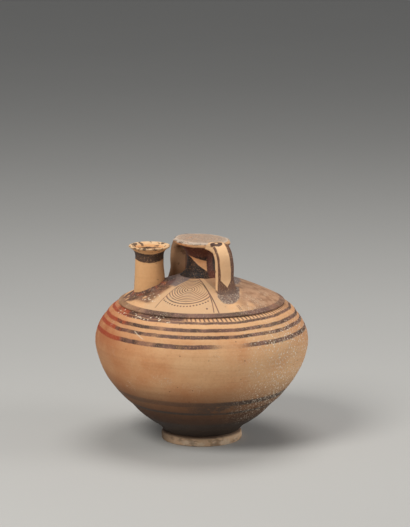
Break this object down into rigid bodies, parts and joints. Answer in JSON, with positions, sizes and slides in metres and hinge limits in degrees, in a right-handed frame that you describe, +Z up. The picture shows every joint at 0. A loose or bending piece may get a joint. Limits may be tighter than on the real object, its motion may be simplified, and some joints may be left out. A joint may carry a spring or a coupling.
{
  "type": "painted clay stirrup jar",
  "caption": "Squat round clay jar on a ring foot, with a closed false neck and flat disc, strap handles, and an open spout on its sloping shoulder.",
  "frame": {"origin": "middle of the foot's underside, on the surface the jar stands on", "axes": "+Z up along the axis of the turned body; the two strap handles lie along X, and the spout is on the -Y side, turned 26 degrees towards -X"},
  "size_m": [0.1722, 0.1722, 0.1655],
  "materials": {
    "body_clay": "matt fired clay with painted bands",
    "shoulder_clay": "matt fired clay with painted panels",
    "spout_clay": "matt fired clay, smoothed",
    "handle_clay": "matt fired clay with painted edges",
    "disc_clay": "worn matt fired clay",
    "neck_clay": "matt brown slip over clay",
    "foot_clay": "bare matt fired clay, worn pale"
  },
  "bodies": {
    "root": {"ring_foot": "foot_clay", "body": "body_clay", "shoulder": "shoulder_clay", "false_neck": "neck_clay", "neck_luting": "neck_clay", "disc": "disc_clay", "spout": "spout_clay", "spout_luting": "neck_clay", "handle_front": "handle_clay", "handle_rear": "handle_clay"}
  },
  "joints": []
}
